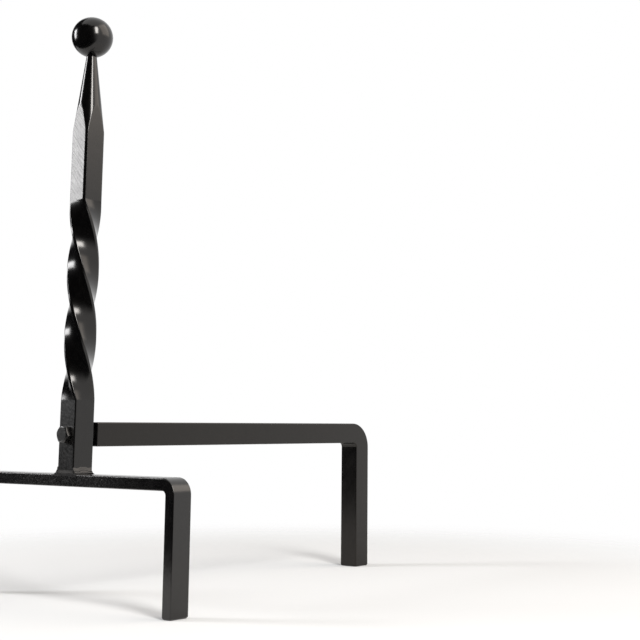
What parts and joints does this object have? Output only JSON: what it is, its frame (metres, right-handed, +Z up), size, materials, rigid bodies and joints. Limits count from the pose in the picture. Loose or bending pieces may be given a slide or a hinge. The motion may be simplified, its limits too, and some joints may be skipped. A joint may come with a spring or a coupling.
{
  "type": "fireplace andiron",
  "caption": "Black iron andiron: bridge-shaped front foot, twisted square upright with a ball finial, and a square log bar that bends down into a rear leg.",
  "frame": {"origin": "on the floor, at the middle of the andiron's width and halfway from the front of the ball to the back of the rear leg", "axes": "+X to the andiron's right as seen from the room, +Y from the room into the fireplace along the log bar, +Z up along the upright"},
  "size_m": [0.25, 0.3848, 0.4803],
  "materials": {
    "satin_black": "satin black baked paint on steel bar",
    "bolt_black": "semi-gloss black paint, worn bright along the edges of the head",
    "plain_steel": "bare zinc-grey steel thread, hidden inside the ball and the upright's turned point"
  },
  "bodies": {
    "root": {"front_foot": "satin_black", "upright": "satin_black", "weld_right": "satin_black", "weld_left": "satin_black", "ball_finial": "satin_black", "finial_stud": "plain_steel", "log_bar": "satin_black", "hex_bolt": "bolt_black", "spacer_washer": "bolt_black"}
  },
  "joints": []
}
